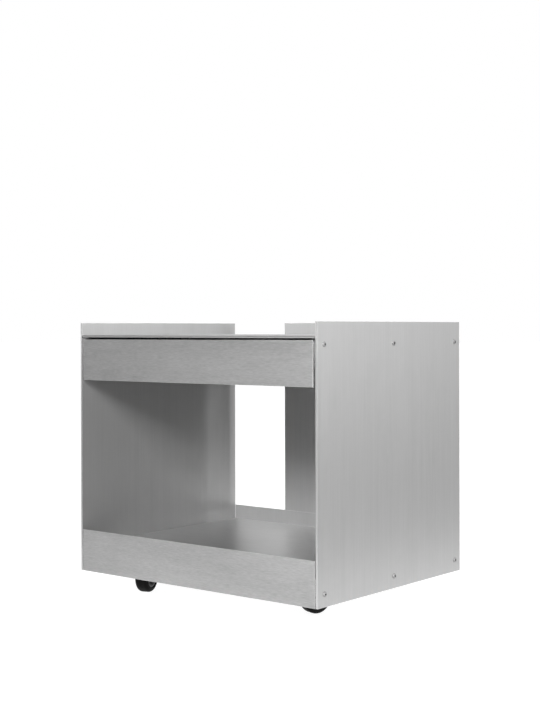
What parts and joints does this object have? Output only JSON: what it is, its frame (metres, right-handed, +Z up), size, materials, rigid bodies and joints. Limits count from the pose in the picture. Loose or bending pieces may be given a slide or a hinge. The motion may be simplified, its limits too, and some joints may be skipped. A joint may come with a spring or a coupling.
{
  "type": "serving trolley",
  "caption": "Low box-shaped serving trolley of brushed metal plates with a recessed top, a drawer on ball slides, an open lower tray with lips, a back spine and swivel casters.",
  "frame": {"origin": "on the ground, in the middle of the overall width and depth", "axes": "+X to the right seen from the front, +Y to the back, +Z up; the drawer opens towards -Y"},
  "size_m": [0.6054, 0.4798, 0.54],
  "materials": {
    "panel_plate": "brushed, vertical grain",
    "folded_sheet": "brushed, level grain",
    "spine_sheet": "brushed, vertical grain",
    "screw_steel": "satin",
    "plated_steel": "zinc plated",
    "ball_steel": "polished",
    "caster_metal": "black, satin",
    "hub_plastic": "matt grey",
    "tyre_rubber": "matt black",
    "stop_rubber": "matt black"
  },
  "bodies": {
    "frame": {"left_side_panel": "panel_plate", "right_side_panel": "panel_plate", "top_shelf": "folded_sheet", "tray_floor": "folded_sheet", "front_apron": "folded_sheet", "rear_apron": "folded_sheet", "back_spine": "spine_sheet", "left_side_screws": "screw_steel", "right_side_screws": "screw_steel", "spine_screws": "screw_steel", "clinch_nuts": "plated_steel", "left_slide_outer": "plated_steel", "right_slide_outer": "plated_steel", "slide_stops": "stop_rubber", "caster_pads": "folded_sheet", "caster_screws": "plated_steel", "kingpins": "plated_steel", "swivel_balls": "ball_steel", "front_left_caster_plate": "caster_metal", "front_right_caster_plate": "caster_metal", "rear_left_caster_plate": "caster_metal", "rear_right_caster_plate": "caster_metal"},
    "drawer": {"drawer_front": "folded_sheet", "drawer_front_nuts": "plated_steel", "drawer_box": "folded_sheet", "drawer_box_front": "folded_sheet", "drawer_box_back": "folded_sheet", "left_slide_inner": "plated_steel", "right_slide_inner": "plated_steel", "slide_screws": "plated_steel"},
    "left_middle_slide": {"left_slide_middle": "plated_steel"},
    "left_outer_ball_cage": {"left_outer_cage": "plated_steel", "left_outer_balls": "ball_steel"},
    "left_inner_ball_cage": {"left_inner_cage": "plated_steel", "left_inner_balls": "ball_steel"},
    "right_middle_slide": {"right_slide_middle": "plated_steel"},
    "right_outer_ball_cage": {"right_outer_cage": "plated_steel", "right_outer_balls": "ball_steel"},
    "right_inner_ball_cage": {"right_inner_cage": "plated_steel", "right_inner_balls": "ball_steel"},
    "front_left_swivel": {"front_left_fork": "caster_metal", "front_left_axle_sleeve": "plated_steel", "front_left_axle_bolt": "plated_steel"},
    "front_left_wheel": {"front_left_wheel_hub": "hub_plastic", "front_left_tyre": "tyre_rubber"},
    "front_right_swivel": {"front_right_fork": "caster_metal", "front_right_axle_sleeve": "plated_steel", "front_right_axle_bolt": "plated_steel"},
    "front_right_wheel": {"front_right_wheel_hub": "hub_plastic", "front_right_tyre": "tyre_rubber"},
    "rear_left_swivel": {"rear_left_fork": "caster_metal", "rear_left_axle_sleeve": "plated_steel", "rear_left_axle_bolt": "plated_steel"},
    "rear_left_wheel": {"rear_left_wheel_hub": "hub_plastic", "rear_left_tyre": "tyre_rubber"},
    "rear_right_swivel": {"rear_right_fork": "caster_metal", "rear_right_axle_sleeve": "plated_steel", "rear_right_axle_bolt": "plated_steel"},
    "rear_right_wheel": {"rear_right_wheel_hub": "hub_plastic", "rear_right_tyre": "tyre_rubber"}
  },
  "joints": [
    {"name": "drawer_travel", "type": "slide", "parent": "frame", "child": "drawer", "axis": [0, -1, 0], "range_m": [0, 0.42]},
    {"name": "left_middle_slide_travel", "type": "slide", "parent": "frame", "child": "left_middle_slide", "axis": [0, -1, 0], "range_m": [0, 0.21]},
    {"name": "left_outer_ball_cage_travel", "type": "slide", "parent": "frame", "child": "left_outer_ball_cage", "axis": [0, -1, 0], "range_m": [0, 0.105]},
    {"name": "left_inner_ball_cage_travel", "type": "slide", "parent": "frame", "child": "left_inner_ball_cage", "axis": [0, -1, 0], "range_m": [0, 0.315]},
    {"name": "right_middle_slide_travel", "type": "slide", "parent": "frame", "child": "right_middle_slide", "axis": [0, -1, 0], "range_m": [0, 0.21]},
    {"name": "right_outer_ball_cage_travel", "type": "slide", "parent": "frame", "child": "right_outer_ball_cage", "axis": [0, -1, 0], "range_m": [0, 0.105]},
    {"name": "right_inner_ball_cage_travel", "type": "slide", "parent": "frame", "child": "right_inner_ball_cage", "axis": [0, -1, 0], "range_m": [0, 0.315]},
    {"name": "front_left_swivel_turn", "type": "hinge", "parent": "frame", "child": "front_left_swivel", "pos_m": [-0.192, -0.14388, 0.07], "axis": [0, 0, 1], "continuous": true},
    {"name": "front_left_wheel_spin", "type": "hinge", "parent": "front_left_swivel", "child": "front_left_wheel", "pos_m": [-0.18302, -0.1704, 0.03], "axis": [0.9472, 0.3206, 0], "continuous": true},
    {"name": "front_right_swivel_turn", "type": "hinge", "parent": "frame", "child": "front_right_swivel", "pos_m": [0.192, -0.14388, 0.07], "axis": [0, 0, 1], "continuous": true},
    {"name": "front_right_wheel_spin", "type": "hinge", "parent": "front_right_swivel", "child": "front_right_wheel", "pos_m": [0.20093, -0.11734, 0.03], "axis": [-0.9478, 0.319, 0], "continuous": true},
    {"name": "rear_left_swivel_turn", "type": "hinge", "parent": "frame", "child": "rear_left_swivel", "pos_m": [-0.192, 0.13912, 0.07], "axis": [0, 0, 1], "continuous": true},
    {"name": "rear_left_wheel_spin", "type": "hinge", "parent": "rear_left_swivel", "child": "rear_left_wheel", "pos_m": [-0.17594, 0.11619, 0.03], "axis": [0.8192, 0.5736, 0], "continuous": true},
    {"name": "rear_right_swivel_turn", "type": "hinge", "parent": "frame", "child": "rear_right_swivel", "pos_m": [0.192, 0.13912, 0.07], "axis": [0, 0, 1], "continuous": true},
    {"name": "rear_right_wheel_spin", "type": "hinge", "parent": "rear_right_swivel", "child": "rear_right_wheel", "pos_m": [0.16443, 0.14399, 0.03], "axis": [-0.1736, -0.9848, 0], "continuous": true}
  ],
  "couplings": [
    {"joint": "left_middle_slide_travel", "follows": "drawer_travel", "ratio": 0.5},
    {"joint": "left_outer_ball_cage_travel", "follows": "drawer_travel", "ratio": 0.25},
    {"joint": "left_inner_ball_cage_travel", "follows": "drawer_travel", "ratio": 0.75},
    {"joint": "right_middle_slide_travel", "follows": "drawer_travel", "ratio": 0.5},
    {"joint": "right_outer_ball_cage_travel", "follows": "drawer_travel", "ratio": 0.25},
    {"joint": "right_inner_ball_cage_travel", "follows": "drawer_travel", "ratio": 0.75}
  ]
}
